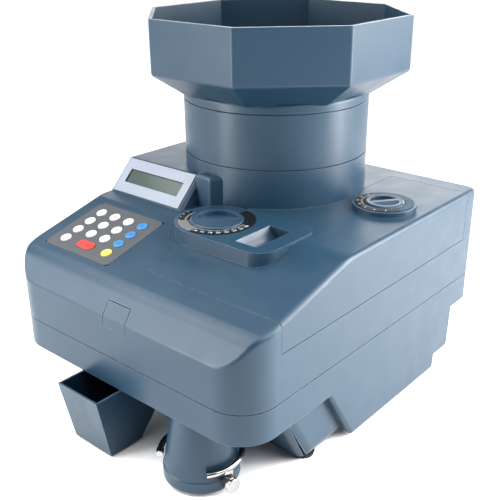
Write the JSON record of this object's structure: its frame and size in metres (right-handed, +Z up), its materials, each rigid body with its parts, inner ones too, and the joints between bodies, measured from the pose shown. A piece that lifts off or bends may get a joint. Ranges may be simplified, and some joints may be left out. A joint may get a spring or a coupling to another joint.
{
  "type": "coin sorting machine",
  "caption": "Desktop coin counting and sorting machine: octagonal hopper over a feed disc, keypad and display, hinged access door with setting knobs, coin spout and reject box.",
  "frame": {"origin": "on the ground, at the middle of the bounding box in X and Y", "axes": "+Z up; -Y is the front, with the keypad and the coin spout; +X is the machine's right-hand side, seen from the front"},
  "size_m": [0.334, 0.448, 0.3995],
  "materials": {
    "slate_plastic": "satin",
    "hopper_plastic": "satin",
    "silver_overlay": "satin",
    "display": "gloss",
    "keypad_grey": "satin",
    "key_white": "satin",
    "key_blue": "satin",
    "key_red": "satin",
    "key_yellow": "satin",
    "scale_black": "satin",
    "bright_steel": "polished",
    "rubber": "matt",
    "aluminium": "satin",
    "steel": "satin",
    "disc_rubber": "matt",
    "board_green": "gloss",
    "black_plastic": "satin",
    "iron": "varnished"
  },
  "bodies": {
    "chassis": {"base_housing": "slate_plastic", "rubber_feet": "rubber", "top_cover": "slate_plastic", "door_hinge_pins": "steel", "hopper_ring": "hopper_plastic", "display_bezel": "silver_overlay", "display_module": "display", "keypad_plate": "keypad_grey", "keypad_board": "board_green", "outlet_spout": "slate_plastic", "box_rails": "steel", "coin_deck": "aluminium", "deck_posts": "steel", "coin_track": "steel", "feed_bowl": "steel", "disc_bearing": "aluminium", "drive_motor": "iron", "drive_belt": "rubber", "transport_belt": "rubber", "roller_frame": "steel", "coin_sensor": "black_plastic", "offsort_chute": "black_plastic", "outlet_tube": "steel", "transformer": "iron", "main_board": "board_green", "power_inlet": "black_plastic", "case_screws": "steel"},
    "hopper": {"hopper": "hopper_plastic"},
    "door": {"access_door": "slate_plastic", "diameter_scale": "scale_black", "thickness_scale": "scale_black"},
    "latch": {"latch_tab": "slate_plastic"},
    "diameter_dial": {"diameter_knob": "slate_plastic"},
    "thickness_dial": {"thickness_knob": "slate_plastic"},
    "rail": {"diameter_rail": "steel"},
    "gate": {"thickness_gate": "steel"},
    "disc": {"feed_disc": "disc_rubber", "disc_pulley": "aluminium"},
    "motor_drive": {"motor_pulley": "aluminium"},
    "roller_front": {"transport_roller_front": "rubber"},
    "roller_rear": {"transport_roller_rear": "rubber"},
    "reject_box": {"reject_box": "slate_plastic"},
    "clamp": {"bag_clamp": "bright_steel"},
    "thumb_screw": {"thumb_screw": "bright_steel"},
    "rocker": {"power_rocker": "black_plastic"},
    "key_01": {"key_01": "key_white"},
    "key_02": {"key_02": "key_white"},
    "key_03": {"key_03": "key_white"},
    "key_04": {"key_04": "key_blue"},
    "key_05": {"key_05": "key_white"},
    "key_06": {"key_06": "key_white"},
    "key_07": {"key_07": "key_white"},
    "key_08": {"key_08": "key_blue"},
    "key_09": {"key_09": "key_white"},
    "key_10": {"key_10": "key_white"},
    "key_11": {"key_11": "key_white"},
    "key_12": {"key_12": "key_blue"},
    "key_13": {"key_13": "key_white"},
    "key_14": {"key_14": "key_red"},
    "key_15": {"key_15": "key_yellow"}
  },
  "joints": [
    {"name": "hopper_lift", "type": "slide", "parent": "chassis", "child": "hopper", "axis": [0, 0, 1], "range_m": [0, 0.15]},
    {"name": "door_hinge", "type": "hinge", "parent": "chassis", "child": "door", "pos_m": [0.16585, 0.018, 0.1532], "axis": [0, 1, 0], "range_deg": [0, 75]},
    {"name": "latch_push", "type": "slide", "parent": "chassis", "child": "latch", "axis": [0, 1, 0], "range_m": [0, 0.0015], "stiffness_N_per_m": 600},
    {"name": "diameter_turn", "type": "hinge", "parent": "door", "child": "diameter_dial", "pos_m": [0.01045, -0.0585, 0.215], "axis": [0, 0, 1], "range_deg": [-135, 135]},
    {"name": "thickness_turn", "type": "hinge", "parent": "door", "child": "thickness_dial", "pos_m": [0.11845, 0.087, 0.22], "axis": [0, 0, 1], "range_deg": [-135, 135]},
    {"name": "rail_slide", "type": "slide", "parent": "chassis", "child": "rail", "axis": [1, 0, 0], "range_m": [-0.009, 0.009]},
    {"name": "gate_slide", "type": "slide", "parent": "chassis", "child": "gate", "axis": [0, 0, 1], "range_m": [-0.0012, 0.0012]},
    {"name": "disc_spin", "type": "hinge", "parent": "chassis", "child": "disc", "pos_m": [-0.03055, 0.0876, 0.15], "axis": [0, 0, 1], "continuous": true},
    {"name": "motor_spin", "type": "hinge", "parent": "chassis", "child": "motor_drive", "pos_m": [0.09695, -0.02, 0.118], "axis": [0, 0, 1], "continuous": true},
    {"name": "roller_front_spin", "type": "hinge", "parent": "chassis", "child": "roller_front", "pos_m": [0.09095, -0.12, 0.169], "axis": [1, 0, 0], "continuous": true},
    {"name": "roller_rear_spin", "type": "hinge", "parent": "chassis", "child": "roller_rear", "pos_m": [0.09095, 0.06, 0.169], "axis": [1, 0, 0], "continuous": true},
    {"name": "reject_box_pull", "type": "slide", "parent": "chassis", "child": "reject_box", "axis": [0, -1, 0], "range_m": [0, 0.16]},
    {"name": "clamp_turn", "type": "hinge", "parent": "chassis", "child": "clamp", "pos_m": [0.08595, -0.168, 0.027], "axis": [0, 0, 1], "range_deg": [-30, 30]},
    {"name": "thumb_screw_turn", "type": "hinge", "parent": "clamp", "child": "thumb_screw", "pos_m": [0.12436, -0.17477, 0.014], "axis": [0.9848, -0.1736, 0], "range_deg": [-180, 180]},
    {"name": "power_switch", "type": "hinge", "parent": "chassis", "child": "rocker", "pos_m": [-0.06305, 0.212, 0.089], "axis": [0, 0, 1], "range_deg": [-12, 0]},
    {"name": "key_01_press", "type": "slide", "parent": "chassis", "child": "key_01", "axis": [0, 0.2586, -0.966], "range_m": [0, 0.0008], "stiffness_N_per_m": 800},
    {"name": "key_02_press", "type": "slide", "parent": "chassis", "child": "key_02", "axis": [0, 0.2586, -0.966], "range_m": [0, 0.0008], "stiffness_N_per_m": 800},
    {"name": "key_03_press", "type": "slide", "parent": "chassis", "child": "key_03", "axis": [0, 0.2586, -0.966], "range_m": [0, 0.0008], "stiffness_N_per_m": 800},
    {"name": "key_04_press", "type": "slide", "parent": "chassis", "child": "key_04", "axis": [0, 0.2586, -0.966], "range_m": [0, 0.0008], "stiffness_N_per_m": 800},
    {"name": "key_05_press", "type": "slide", "parent": "chassis", "child": "key_05", "axis": [0, 0.2586, -0.966], "range_m": [0, 0.0008], "stiffness_N_per_m": 800},
    {"name": "key_06_press", "type": "slide", "parent": "chassis", "child": "key_06", "axis": [0, 0.2586, -0.966], "range_m": [0, 0.0008], "stiffness_N_per_m": 800},
    {"name": "key_07_press", "type": "slide", "parent": "chassis", "child": "key_07", "axis": [0, 0.2586, -0.966], "range_m": [0, 0.0008], "stiffness_N_per_m": 800},
    {"name": "key_08_press", "type": "slide", "parent": "chassis", "child": "key_08", "axis": [0, 0.2586, -0.966], "range_m": [0, 0.0008], "stiffness_N_per_m": 800},
    {"name": "key_09_press", "type": "slide", "parent": "chassis", "child": "key_09", "axis": [0, 0.2586, -0.966], "range_m": [0, 0.0008], "stiffness_N_per_m": 800},
    {"name": "key_10_press", "type": "slide", "parent": "chassis", "child": "key_10", "axis": [0, 0.2586, -0.966], "range_m": [0, 0.0008], "stiffness_N_per_m": 800},
    {"name": "key_11_press", "type": "slide", "parent": "chassis", "child": "key_11", "axis": [0, 0.2586, -0.966], "range_m": [0, 0.0008], "stiffness_N_per_m": 800},
    {"name": "key_12_press", "type": "slide", "parent": "chassis", "child": "key_12", "axis": [0, 0.2586, -0.966], "range_m": [0, 0.0008], "stiffness_N_per_m": 800},
    {"name": "key_13_press", "type": "slide", "parent": "chassis", "child": "key_13", "axis": [0, 0.2586, -0.966], "range_m": [0, 0.0008], "stiffness_N_per_m": 800},
    {"name": "key_14_press", "type": "slide", "parent": "chassis", "child": "key_14", "axis": [0, 0.2586, -0.966], "range_m": [0, 0.0008], "stiffness_N_per_m": 800},
    {"name": "key_15_press", "type": "slide", "parent": "chassis", "child": "key_15", "axis": [0, 0.2586, -0.966], "range_m": [0, 0.0008], "stiffness_N_per_m": 800}
  ],
  "couplings": [
    {"joint": "diameter_turn", "follows": "rail_slide", "rad_per_m": 261},
    {"joint": "thickness_turn", "follows": "gate_slide", "rad_per_m": 1960},
    {"joint": "motor_spin", "follows": "disc_spin", "ratio": 3},
    {"joint": "roller_front_spin", "follows": "disc_spin", "ratio": 4},
    {"joint": "roller_rear_spin", "follows": "disc_spin", "ratio": 4}
  ]
}
